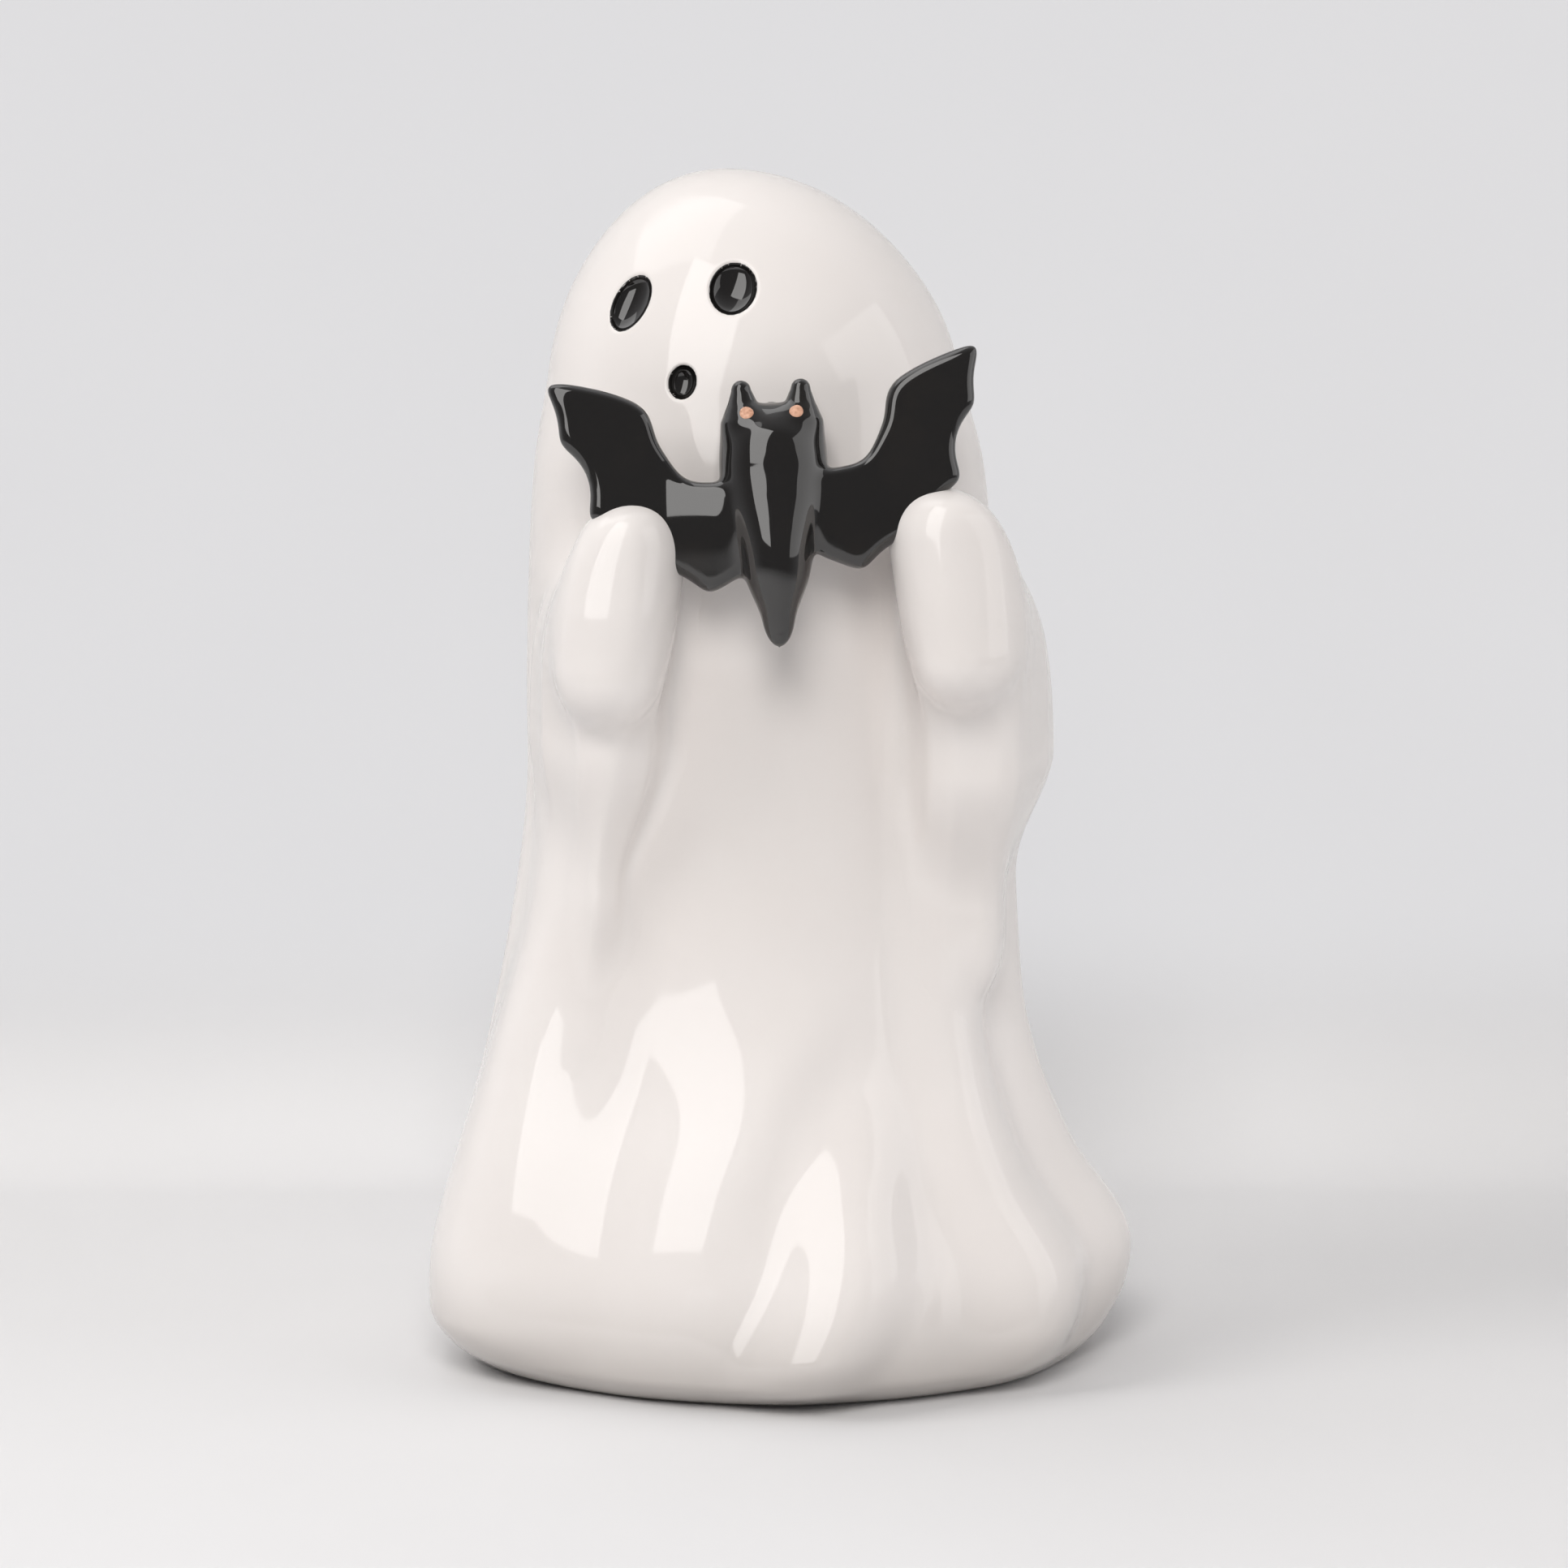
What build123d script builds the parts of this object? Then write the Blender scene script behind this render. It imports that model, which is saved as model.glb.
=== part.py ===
from build123d import *
import os
from collections import namedtuple
from math import cos, radians, sin, sqrt

# Glazed ceramic ghost figure, draped in a sheet and holding a bat in front of its chest.
# Millimetres. +Z is up, the figure faces -Y, and +X is on the right of someone who looks at its face.
# Left and right are said from that same viewer. The origin is on the floor, under the middle of the skirt.
# An angle round the figure is 0 at the front and grows towards +X.

# Overall and wall
figure_height = 200.0  # floor to crown
wall = 5.0  # cast wall of the hollow body
floor_wall = 5.5  # thickness of the body's base
pour_hole_diameter = 24.0  # hole that the spare slip was poured out of

# Reach of the sheet to each side of the axis, at named heights
foot_left = 53.0
foot_right = 50.0
foot_front = 44.5
foot_back = 45.5

heel_height = 5.0
heel_left = 55.0
heel_right = 53.0
heel_front = 52.4
heel_back = 52.0

hem_height = 20.0
hem_left = 56.4
hem_right = 55.9
hem_front = 50.6
hem_back = 55.6

flare_height = 36.0
flare_left = 52.7
flare_right = 46.2
flare_front = 45.4
flare_back = 50.0

knee_height = 54.0
knee_left = 48.0
knee_right = 39.3
knee_front = 38.2
knee_back = 44.4

waist_height = 80.0
waist_left = 43.5
waist_right = 35.8
waist_front = 34.4
waist_back = 40.0

chest_height = 118.0
chest_left = 43.2
chest_right = 35.6
chest_front = 33.4
chest_back = 37.0

neck_drop = 50.0  # below the crown
neck_left = 41.8
neck_right = 33.5
neck_front = 36.6
neck_back = 35.6

head_rise = 33.0  # crown above the level where the head starts to round over
head_left = 39.2
head_right = 29.2
head_front = 35.0
head_back = 34.2

brow_drop = 17.0  # below the crown; the reach here is as if the head did not round over
brow_left = 37.6
brow_right = 26.4
brow_front = 32.2
brow_back = 32.2
crown_left = 10.0  # lean of the crown's tip
crown_back = 0.4

# Folds of the sheet: where each crest runs at the hem and at its top, how proud it is and how wide its flanks are
# and, where it differs from the others, the height by which it is full and the length over which it dies away
fold_names = "hem_angle top_angle top_height swell left_angle right_angle full fade"
Fold = namedtuple("Fold", fold_names, defaults=(14.0, 34.0))
folds = [
    Fold(hem_angle=-58, top_angle=-42, top_height=128, swell=9.0, left_angle=30, right_angle=28, fade=80),
    Fold(hem_angle=-18, top_angle=16, top_height=74, swell=3.2, left_angle=31, right_angle=16, full=60),
    Fold(hem_angle=11, top_angle=26, top_height=58, swell=6.8, left_angle=17, right_angle=15),
    Fold(hem_angle=46, top_angle=43, top_height=128, swell=5.5, left_angle=15, right_angle=22),
    Fold(hem_angle=84, top_angle=74, top_height=112, swell=3.0, left_angle=22, right_angle=22),
    Fold(hem_angle=122, top_angle=114, top_height=98, swell=3.2, left_angle=22, right_angle=22),
    Fold(hem_angle=160, top_angle=150, top_height=122, swell=3.0, left_angle=22, right_angle=22),
    Fold(hem_angle=196, top_angle=190, top_height=92, swell=3.0, left_angle=20, right_angle=20),
    Fold(hem_angle=232, top_angle=216, top_height=124, swell=3.2, left_angle=22, right_angle=22),
    Fold(hem_angle=278, top_angle=276, top_height=104, swell=2.2, left_angle=23, right_angle=23),
]
fold_foot = 2.8  # depth below the floor from which the folds would grow

# Face: recesses lined with black glaze, placed by the drop of their middles below the crown
Recess = namedtuple("Recess", "angle drop width tall deep lean_angle")
left_eye = Recess(angle=-41.2, drop=19.6, width=8.2, tall=9.8, deep=3.0, lean_angle=10)
right_eye = Recess(angle=-4.4, drop=16.6, width=7.6, tall=9.4, deep=3.0, lean_angle=4)
mouth = Recess(angle=-19.9, drop=31.5, width=4.7, tall=5.5, deep=2.6, lean_angle=8)
glaze_thickness = 0.7

# Bat, in its own plane: x outwards from its body's axis, y up from its eye line
bat_left = 2.0  # shift of the bat's axis from the figure's
bat_drop = 34.9  # eye line below the crown
bat_stand_off = 5.9  # wing plane in front of the chest, at the eye line
bat_roll_angle = 2.0
bat_lean_angle = 8.0  # the bat's head lies back against the chest
bat_half_width = 8.8
bat_half_depth = 8.9
bat_tail_drop = 38.0
bat_tail_forward = 4.2  # the tail swings out towards the viewer
bat_head_rise = 2.6
bat_ear_rise = 5.1
bat_ear_spread = 5.2
bat_ear_tip_radius = 1.9
bat_ear_root_drop = 5.0
bat_ear_root_radius = 3.5
bat_ear_forward = 1.6
bat_eye_spread = 4.1
bat_eye_rise = 0.2
bat_eye_diameter = 2.3
wing_thickness = 4.0
wing_notch_out = 12.4  # lowest point of the leading edge, beside the neck
wing_notch_drop = 11.6
wing_bend_out = 18.0
wing_bend_drop = 5.9
wing_wrist_out = 21.8
wing_wrist_rise = 1.2
wing_tip_out = 36.0
wing_tip_rise = 3.9
wing_point_out = 33.2
wing_point_drop = 5.0
wing_elbow_out = 28.8
wing_elbow_drop = 16.8
wing_finger_out = 20.6
wing_finger_drop = 24.0
wing_lobe_out = 10.2
wing_lobe_drop = 28.8
tip_scallop = 1.2  # depth of the hollow between the tip and the next point
edge_scallop = 2.6  # depth of the hollow below that
low_scallop = 1.4  # depth of the two hollows that the hands cover
left_wing_lift_angle = 2.0
right_wing_lift_angle = 9.0
right_wing_ratio = 0.95  # size of the right wing beside the left one

# Bat's head and body: ovals at shares of its length, by their shares of its half width and depth
BatRing = namedtuple("BatRing", "share width depth")
bat_rings = [
    BatRing(0.007, 0.34, 0.22),
    BatRing(0.03, 0.64, 0.45),
    BatRing(0.09, 0.89, 0.74),
    BatRing(0.165, 0.98, 0.89),
    BatRing(0.285, 1.0, 0.95),
    BatRing(0.41, 0.955, 1.0),
    BatRing(0.53, 0.82, 1.0),
    BatRing(0.65, 0.665, 0.9),
    BatRing(0.8, 0.455, 0.61),
    BatRing(0.92, 0.267, 0.3),
    BatRing(0.985, 0.13, 0.13),
]
tail_from = 0.4  # share of the bat's length below which its tail swings out

# Arms: a hand and a forearm under the sheet, and the cloth that hangs from them
hand_radius = 9.6
hand_stand_off = 7.7  # middle of the hand's upper end in front of the chest
heel_radius = 8.3  # lower end of the hand
heel_stand_off = 4.0
hand_length = 20.0  # between the middles of its two ends
hand_lean = 4.3  # lower end further out than the upper one
left_hand_out = 26.0
left_hand_drop = 60.0  # middle of the upper end below the crown
right_hand_out = 27.2
right_hand_drop = 57.8
wrist_drop = 7.0  # forearm's front end below the middle of the hand's upper end
wrist_out = 2.4
wrist_stand_off = 3.4
wrist_radius = 9.6
forearm_drop = 14.0  # forearm's other end below the middle of the hand's upper end
forearm_radius = 9.0
left_forearm_angle = -48.6
left_forearm_proud = -0.3
right_forearm_angle = 54.0
right_forearm_proud = 7.6

# Hanging cloth: its outline from above at two levels, each corner at an angle and so far off the sheet
cloth_run_out = 8.0  # cloth goes on below the lower outline, into the body
left_cloth_drop = 72.0  # upper outline below the crown
left_cloth_low_drop = 126.0  # lower outline below the crown
left_cloth_rise = 8.0  # straight part above the upper outline
left_cloth_top = [(-21.5, -1.9), (-21, 7.1), (-25, 12.2), (-32, 13.1), (-46, 8.2), (-64, 1.2), (-66, -12.7)]
left_cloth_low = [(-43, -12.2), (-35, 0), (-36, 4.5), (-42, 3), (-54, -2), (-66.5, -3.6), (-69.5, -15)]
right_cloth_drop = 97.0
right_cloth_low_drop = 120.0
right_cloth_rise = 33.0
right_cloth_top = [
    (35.4, -0.3), (32.7, 10.9), (35, 14.3), (41.5, 15.8), (44.8, 15.6), (49, 14.4),
    (63.2, 13.5), (73.6, 11.1), (82.9, 7.4), (89.4, -1.8), (67, -9.6),
]
right_cloth_low = [
    (46.7, -12.2), (41.1, -5.2), (43.9, -2.1), (49.9, 1.3), (53.5, 2.8), (57.5, 3.2),
    (66.7, 1.1), (73.7, -1.4), (81, -3.1), (88.6, -5.2), (65.4, -12.5),
]
sleeve_shoulder_drop = 64.3  # the right sleeve's slanted shoulder, below the crown
sleeve_shoulder_proud = 5.4
sleeve_shoulder_angle = 21.7

# Dry foot: the unglazed ring that the figure stands on, round a shallow recess
foot_ring_width = 9.0
foot_recess = 1.6

points_round = 80  # points of each section of the body

Station = namedtuple("Station", "height left right front back")
stations = [
    Station(0.0, foot_left, foot_right, foot_front, foot_back),
    Station(heel_height, heel_left, heel_right, heel_front, heel_back),
    Station(hem_height, hem_left, hem_right, hem_front, hem_back),
    Station(flare_height, flare_left, flare_right, flare_front, flare_back),
    Station(knee_height, knee_left, knee_right, knee_front, knee_back),
    Station(waist_height, waist_left, waist_right, waist_front, waist_back),
    Station(chest_height, chest_left, chest_right, chest_front, chest_back),
    Station(figure_height - neck_drop, neck_left, neck_right, neck_front, neck_back),
    Station(figure_height - head_rise, head_left, head_right, head_front, head_back),
    Station(figure_height - brow_drop, brow_left, brow_right, brow_front, brow_back),
]


def slope(index, field):
    """Rise of one reach per millimetre of height at a station, from its neighbours."""
    low = stations[max(index - 1, 0)]
    high = stations[min(index + 1, len(stations) - 1)]
    return (getattr(high, field) - getattr(low, field)) / (high.height - low.height)


def reach(field, height):
    """Reach of the sheet on one side at a height, on a smooth curve through the stations."""
    height = min(max(height, stations[0].height), stations[-1].height)
    index = max(i for i in range(len(stations) - 1) if stations[i].height <= height)
    low, high = stations[index], stations[index + 1]
    run = high.height - low.height
    t = (height - low.height) / run
    start, end = getattr(low, field), getattr(high, field)
    return (
        (1 + 2 * t) * (1 - t) ** 2 * start
        + t * (1 - t) ** 2 * run * slope(index, field)
        + t * t * (3 - 2 * t) * end
        + t * t * (t - 1) * run * slope(index + 1, field)
    )


def ease(t):
    """Smooth step from 0 to 1."""
    t = min(max(t, 0.0), 1.0)
    return t * t * (3 - 2 * t)


def swell(angle, height):
    """How far the folds push the sheet out at an angle and height."""
    total = 0.0
    for fold in folds:
        climb = min(max((height - hem_height) / (fold.top_height - hem_height), 0.0), 1.0)
        middle = fold.hem_angle + climb * (fold.top_angle - fold.hem_angle)
        off = (angle - middle + 180) % 360 - 180
        fade = ease((fold.top_height - height) / fold.fade) * ease((height + fold_foot) / fold.full)
        flank = -off / fold.left_angle if off < 0 else off / fold.right_angle
        total += fold.swell * fade * ease(1 - flank)
    return total


def skin(angle, height, inset=0.0):
    """Point of the sheet's outer surface at an angle and height, or that far inside it."""
    crown_base = figure_height - head_rise
    rise = max(height - crown_base, 0.0) / (head_rise - inset)
    shrink = sqrt(max(1 - rise * rise, 0.0))
    lean = 1 - shrink
    left, right = reach("left", height), reach("right", height)
    front, back = reach("front", height), reach("back", height)
    middle_x = (1 - lean) * (right - left) / 2 - lean * crown_left
    middle_y = (1 - lean) * (back - front) / 2 + lean * crown_back
    out = swell(angle, height) - inset
    half_width = ((left + right) / 2 + out) * shrink
    half_depth = ((front + back) / 2 + out) * shrink
    turn = radians(angle)
    return Vector(middle_x + half_width * sin(turn), middle_y - half_depth * cos(turn), height)


def outward(angle, height):
    """Unit normal of the sheet at an angle and height."""
    small = 0.5
    across = skin(angle + small, height) - skin(angle - small, height)
    up = skin(angle, height + small) - skin(angle, height - small)
    return across.cross(up).normalized()


def section(height, inset=0.0):
    """Closed outline of the sheet at one height."""
    angles = [360 * i / points_round for i in range(points_round)]
    shares = [i / points_round for i in range(points_round + 1)]
    outline = Edge.make_spline([skin(a, height, inset) for a in angles], periodic=True, parameters=shares)
    return Face(Wire([outline]))


def levels(start, inset=0.0):
    """Heights of the sections: evenly between the stations, then by equal turns over the head."""
    heights = [start]
    for low, high in zip(stations, stations[1:]):
        steps = max(1, round((high.height - low.height) / 13))
        heights += [low.height + (high.height - low.height) * i / steps for i in range(1, steps + 1)]
    round_over = figure_height - head_rise
    turns = [12, 26, 40, 53, 65, 75, 83]
    crown = [round_over + (head_rise - inset) * sin(radians(turn)) for turn in turns]
    return [h for h in heights if h == start or start + 1 < h <= round_over] + crown


def draped(start, inset=0.0):
    """Solid inside the sheet's surface, from a height up to the crown."""
    tip = Vertex(-crown_left, crown_back, figure_height - inset)
    return loft([section(h, inset) for h in levels(start, inset)] + [tip])


def turned(start, end, rings):
    """Round form along a line, through rings given as a share of its length and a radius."""
    start, end = Vector(start), Vector(end)
    along = end - start
    across = perpendicular(along)
    return loft([Plane(start + along * share, x_dir=across, z_dir=along) * Circle(radius) for share, radius in rings])


def limb(start, end, start_radius, end_radius):
    """Round bar between two points, with rounded ends that finish in a tiny flat."""
    length = (Vector(end) - Vector(start)).length
    turns = [radians(turn) for turn in (0, 22, 44, 66, 84)]
    rings = [(-start_radius * sin(turn) / length, start_radius * cos(turn)) for turn in turns[::-1]]
    rings += [(1 + end_radius * sin(turn) / length, end_radius * cos(turn)) for turn in turns]
    return turned(start, end, rings)


def perpendicular(direction):
    """Some direction at right angles to the given one."""
    helper = Vector(0, 0, 1) if abs(direction.Z) < 0.7 * direction.length else Vector(1, 0, 0)
    return direction.cross(helper)


def hollow(recess, shrink=0.0):
    """Ellipsoid whose lower half is the recess, set on the sheet's surface."""
    height = figure_height - recess.drop
    spot = skin(recess.angle, height)
    normal = outward(recess.angle, height)
    seat = Plane(spot, x_dir=Vector(0, 0, 1).cross(normal), z_dir=normal) * Rotation(0, 0, -recess.lean_angle)
    ball = scale(Sphere(1), by=(recess.width / 2 - shrink, recess.tall / 2 - shrink, recess.deep - shrink))
    return seat * ball


draped_form = draped(0.0)


def ghost_body():
    """Hollow casting with its foot ring, its pour hole and the three recesses of the face."""
    cavity = draped(foot_recess + floor_wall, wall)
    under = extrude(section(0.0, foot_ring_width), foot_recess, dir=(0, 0, 1))
    hole = Cylinder(pour_hole_diameter / 2, 4 * (foot_recess + floor_wall))
    body = draped_form - cavity - under - hole
    for recess in (left_eye, right_eye, mouth):
        body -= hollow(recess)
    return body


def glaze(recess):
    """Black glaze that lines a recess up to its rim."""
    return (hollow(recess) & draped_form) - hollow(recess, glaze_thickness)


def bat_plane():
    """Plane of the wings, facing the viewer, at the bat's eye line."""
    chest = skin(0, figure_height - neck_drop)
    spot = (-bat_left, chest.Y - bat_stand_off, figure_height - bat_drop)
    flat = Plane(spot, x_dir=(1, 0, 0), z_dir=(0, -1, 0))
    return flat * Rotation(0, 0, bat_roll_angle) * Rotation(-bat_lean_angle, 0, 0)


def wing(lift, size=1.0):
    """One wing, on the +X side of the bat's axis, raised by an angle."""
    inner = bat_half_width / 3
    notch = (wing_notch_out, -wing_notch_drop)
    bend = (wing_bend_out, -wing_bend_drop)
    wrist = (wing_wrist_out, wing_wrist_rise)
    tip = (wing_tip_out, wing_tip_rise)
    point = (wing_point_out, -wing_point_drop)
    elbow = (wing_elbow_out, -wing_elbow_drop)
    finger = (wing_finger_out, -wing_finger_drop)
    lobe = (wing_lobe_out, -wing_lobe_drop)
    root_low = (inner, -wing_finger_drop)
    root_top = (inner, -wing_notch_drop)
    edges = [
        Line(root_top, notch),
        Spline(notch, bend, wrist, tip, tangents=[(1, 0.1), (1, 0)]),
        SagittaArc(tip, point, -tip_scallop),
        SagittaArc(point, elbow, -edge_scallop),
        SagittaArc(elbow, finger, -low_scallop),
        SagittaArc(finger, lobe, -low_scallop),
        Line(lobe, root_low),
        Line(root_low, root_top),
    ]
    outline = Rotation(0, 0, lift) * scale(make_face(edges), by=size)
    return extrude(outline, wing_thickness / 2, both=True)


def bat_body():
    """Bat's head and body: ovals from the crown of its head to its tail."""
    ovals = []
    for ring in bat_rings:
        level = bat_head_rise - ring.share * (bat_head_rise + bat_tail_drop)
        swing = max(ring.share - tail_from, 0.0) / (1 - tail_from)
        middle = Plane((0, level, bat_tail_forward * swing**1.5), x_dir=(1, 0, 0), z_dir=(0, -1, 0))
        ovals.append(middle * Ellipse(bat_half_width * ring.width, bat_half_depth * ring.depth))
    return loft(ovals)


def bat_casting():
    """Bat in its own plane: tapering body, two ears and two wings."""
    bat = bat_body()
    for side in (-1, 1):
        tip = (side * bat_ear_spread, bat_ear_rise - bat_ear_tip_radius, bat_ear_forward)
        root = (side * bat_ear_spread, -bat_ear_root_drop, bat_ear_forward)
        bat += limb(root, tip, bat_ear_root_radius, bat_ear_tip_radius)
    bat += wing(right_wing_lift_angle, right_wing_ratio)
    bat += mirror(wing(left_wing_lift_angle), Plane.YZ)
    return bat


bat_form = bat_plane() * bat_casting()


def bat_eye_ball(side):
    """Ball round the spot of one painted eye on the bat's face."""
    sight = bat_plane() * Pos(side * bat_eye_spread, bat_eye_rise, 0)
    hits = bat_form.find_intersection_points(Axis(sight.position, (0, -1, 0)))
    front = min((point for point, normal in hits), key=lambda point: point.Y)
    return Pos(front) * Sphere(bat_eye_diameter / 2)


def bat():
    """Bat in its place, its back shaped to the chest that it is set on."""
    return bat_form - draped_form - bat_eye_ball(-1) - bat_eye_ball(1)


def bat_eye(side):
    """Painted dot, flush with the bat's face."""
    return bat_eye_ball(side) & bat_form


def outline(corners, height):
    """Corners given by angle and distance off the sheet, as points at one height."""
    return [skin(angle, height, -proud) for angle, proud in corners]


def cloth(top_corners, low_corners, drop, low_drop, rise):
    """Cloth that hangs from an arm, straight above its upper outline and ruled down past the lower one."""
    high, low = figure_height - drop, figure_height - low_drop
    upper, lower = outline(top_corners, high), outline(low_corners, low)
    share = cloth_run_out / (high - low)
    rows = [
        [point + Vector(0, 0, rise) for point in upper],
        upper,
        [end + (end - start) * share for start, end in zip(upper, lower)],
    ]
    return loft([Face(Wire.make_polygon(row)) for row in rows], ruled=True)


def slant(drop, proud, angle):
    """Plane that leans over the right side of the figure, and cuts away what is outside it."""
    height = figure_height - drop
    spot = skin(90, height, -proud)
    way = (cos(radians(angle)), 0, sin(radians(angle)))
    return Plane(spot, x_dir=(0, 1, 0), z_dir=way)


def left_cloth():
    """Cloth under the left hand."""
    return cloth(left_cloth_top, left_cloth_low, left_cloth_drop, left_cloth_low_drop, left_cloth_rise)


def right_cloth():
    """Cloth under the right hand, with a slanted shoulder."""
    hanging = cloth(right_cloth_top, right_cloth_low, right_cloth_drop, right_cloth_low_drop, right_cloth_rise)
    shoulder = slant(sleeve_shoulder_drop, sleeve_shoulder_proud, sleeve_shoulder_angle)
    return split(hanging, shoulder, keep=Keep.BOTTOM)


Arm = namedtuple("Arm", "side out drop forearm_angle forearm_proud")
left_arm = Arm(-1, left_hand_out, left_hand_drop, left_forearm_angle, left_forearm_proud)
right_arm = Arm(1, right_hand_out, right_hand_drop, right_forearm_angle, right_forearm_proud)


def arm(shape, hanging):
    """Hand, forearm and hanging cloth, shaped to the body and round the bat's wing."""
    chest = skin(0, figure_height - neck_drop).Y
    top = figure_height - shape.drop
    tip = (shape.side * shape.out, chest - hand_stand_off, top)
    heel = (shape.side * (shape.out + hand_lean), chest - heel_stand_off, top - hand_length)
    hand = limb(heel, tip, heel_radius, hand_radius)
    wrist = (shape.side * (shape.out + wrist_out), chest - wrist_stand_off, top - wrist_drop)
    elbow = skin(shape.forearm_angle, top - forearm_drop, -shape.forearm_proud)
    forearm = limb(elbow, wrist, forearm_radius, wrist_radius)
    return hand + forearm + hanging - draped_form - bat_form


if __name__ == "__main__":
    os.makedirs("parts", exist_ok=True)
    pieces = {
        "ghost_body": ghost_body(),
        "bat": bat(),
        "left_arm": arm(left_arm, left_cloth()),
        "right_arm": arm(right_arm, right_cloth()),
        "left_eye_glaze": glaze(left_eye),
        "right_eye_glaze": glaze(right_eye),
        "mouth_glaze": glaze(mouth),
        "bat_left_eye": bat_eye(-1),
        "bat_right_eye": bat_eye(1),
    }
    for name, piece in pieces.items():
        export_step(piece, f"parts/{name}.step")
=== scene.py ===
import math
import bpy
import numpy as np
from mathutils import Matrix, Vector
from mathutils.geometry import delaunay_2d_cdt


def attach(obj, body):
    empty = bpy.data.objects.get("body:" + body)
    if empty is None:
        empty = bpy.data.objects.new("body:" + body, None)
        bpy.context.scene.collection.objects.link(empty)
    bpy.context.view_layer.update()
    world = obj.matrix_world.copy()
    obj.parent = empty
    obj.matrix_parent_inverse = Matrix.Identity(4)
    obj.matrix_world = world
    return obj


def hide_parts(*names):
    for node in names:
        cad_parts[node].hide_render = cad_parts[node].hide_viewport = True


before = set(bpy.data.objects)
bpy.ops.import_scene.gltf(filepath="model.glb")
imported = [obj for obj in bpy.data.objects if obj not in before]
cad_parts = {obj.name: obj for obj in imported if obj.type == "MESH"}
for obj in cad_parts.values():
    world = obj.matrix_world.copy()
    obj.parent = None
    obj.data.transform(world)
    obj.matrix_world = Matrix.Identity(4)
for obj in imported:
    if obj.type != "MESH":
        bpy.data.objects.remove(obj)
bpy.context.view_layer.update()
mm = 0.001  # shapes are worked out in millimetres and go into meshes in metres
print("frame loaded:", sorted(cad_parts))


# Shader building: a socket that takes arithmetic, and a finish that holds one material's nodes

class Sock:
    def __init__(self, finish, out):
        self.finish = finish
        self.out = out

    def __add__(self, other):
        return self.finish.maths("ADD", self, other)

    def __sub__(self, other):
        return self.finish.maths("SUBTRACT", self, other)

    def __rsub__(self, other):
        return self.finish.maths("SUBTRACT", other, self)

    def __mul__(self, other):
        return self.finish.maths("MULTIPLY", self, other)

    __radd__ = __add__
    __rmul__ = __mul__


class Finish:
    def __init__(self, owner):
        owner.use_nodes = True
        self.owner = owner
        self.nodes = owner.node_tree.nodes
        self.links = owner.node_tree.links
        self.nodes.clear()

    def node(self, kind, settings=None, sockets=None, output=0):
        made = self.nodes.new(kind)
        for key, value in (settings or {}).items():
            setattr(made, key, value)
        for key, value in (sockets or {}).items():
            if isinstance(value, Sock):
                self.links.new(value.out, made.inputs[key])
            else:
                made.inputs[key].default_value = value
        return Sock(self, made.outputs[output]) if made.outputs else made

    def maths(self, operation, *values):
        return self.node("ShaderNodeMath", {"operation": operation}, dict(enumerate(values)))

    def mix(self, factor, first, second, blend="MIX"):
        settings = {"data_type": "RGBA", "blend_type": blend}
        return self.node("ShaderNodeMix", settings, {0: factor, 6: first, 7: second}, output=2)

    def span(self, value, low, high, start=0.0, end=1.0):  # smooth step of a value between two limits
        settings = {"interpolation_type": "SMOOTHSTEP"}
        return self.node("ShaderNodeMapRange", settings, {0: value, 1: low, 2: high, 3: start, 4: end})

    def noise(self, place, scale, detail=3.0, rough=0.5):
        sockets = {"Vector": place, "Scale": scale, "Detail": detail, "Roughness": rough}
        return self.node("ShaderNodeTexNoise", None, sockets)

    def bump(self, height, strength, distance):
        sockets = {"Height": height, "Strength": strength, "Distance": distance}
        return self.node("ShaderNodeBump", None, sockets)

    def place(self):
        return self.node("ShaderNodeTexCoord", output=3)

    def along(self, vector, axis):
        return self.node("ShaderNodeSeparateXYZ", None, {0: vector}, output="XYZ".index(axis))

    def close(self, surface, kind="ShaderNodeOutputMaterial"):
        self.node(kind, None, {"Surface": surface})
        return self.owner

    def coat(self, colour, rough, bump, ior=1.5):
        sockets = {"Base Color": colour, "Roughness": rough, "Normal": bump, "IOR": ior}
        return self.close(self.node("ShaderNodeBsdfPrincipled", None, sockets))


# Finishes; waves, patches and grain are in cells per metre

whiteGlazeLook = {
    "thick": (0.86, 0.822, 0.80, 1),  # where the glaze lies thick
    "thin": (0.82, 0.776, 0.75, 1),  # where it has run off and the body warms it
    "cloud": 26.0, "thinShare": 0.5,  # broad tone
    "foot": (0.44, 0.41, 0.385, 1),  # painted shade: the glaze goes darker towards the bottom, where the skirt rounds under
    "footHeight": 0.024, "footShare": 0.8,
    "wave": 85.0, "waveHeight": 0.00002, "waveStrength": 0.3,  # slow waviness of the glaze
    "patch": 70.0, "gloss": (0.04, 0.075),  # roughness from and to
    "ior": 1.5,
}


def whiteGlaze():
    look = whiteGlazeLook
    f = Finish(bpy.data.materials.new("whiteGlaze"))
    place = f.place()
    cloud = f.span(f.noise(place, look["cloud"], 4), 0.35, 0.68)
    # painted shade: the white glaze is mixed towards a dark tone over the lowest part of the skirt
    low = f.span(f.along(place, "Z"), 0.0, look["footHeight"], look["footShare"], 0.0)
    colour = f.mix(cloud * look["thinShare"], look["thick"], look["thin"])
    colour = f.mix(low, colour, look["foot"])
    bump = f.bump(f.noise(place, look["wave"], 1, 0.3), look["waveStrength"], look["waveHeight"])
    rough = f.span(f.noise(place, look["patch"]), 0.3, 0.7, *look["gloss"])
    return f.coat(colour, rough, bump, look["ior"])


blackGlazeLook = {
    "deep": (0.010, 0.009, 0.0085, 1),
    "brown": (0.015, 0.0125, 0.0105, 1),  # where it breaks thin
    "cloud": 70.0,
    "wave": 130.0, "waveHeight": 0.00002, "waveStrength": 0.35,
    "patch": 90.0, "gloss": (0.03, 0.06),
    "ior": 1.75,
}


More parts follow.
